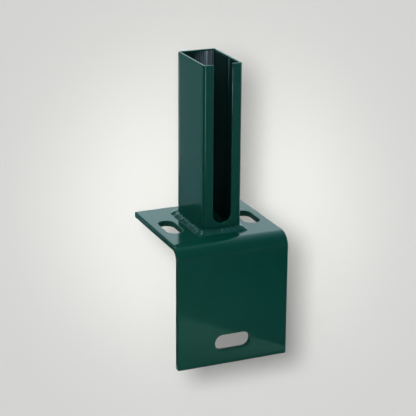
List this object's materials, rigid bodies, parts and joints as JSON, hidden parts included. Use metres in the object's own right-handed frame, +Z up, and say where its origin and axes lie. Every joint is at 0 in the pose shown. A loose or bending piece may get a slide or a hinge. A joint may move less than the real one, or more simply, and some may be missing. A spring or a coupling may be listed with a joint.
{
  "type": "post base plate",
  "caption": "Painted steel angle bracket with a slotted upright tube, bolted over the corner of a wall to hold a fence post.",
  "frame": {"origin": "on the underside of the top flange, below the tube's axis, where the post's axis meets the top of the wall", "axes": "+Z up along the tube, +X along the bend line, -Y towards the front flange and the slotted face of the tube"},
  "size_m": [0.087, 0.088, 0.22],
  "materials": {
    "plate_coat": "glossy moss-green powder coat on bent sheet steel",
    "tube_coat": "glossy moss-green powder coat outside, bare galvanised steel deep inside",
    "weld_coat": "glossy moss-green powder coat over rippled weld beads"
  },
  "bodies": {
    "root": {"angle_plate": "plate_coat", "post_tube": "tube_coat", "weld_front": "weld_coat", "weld_right": "weld_coat", "weld_back": "weld_coat", "weld_left": "weld_coat"}
  },
  "joints": []
}
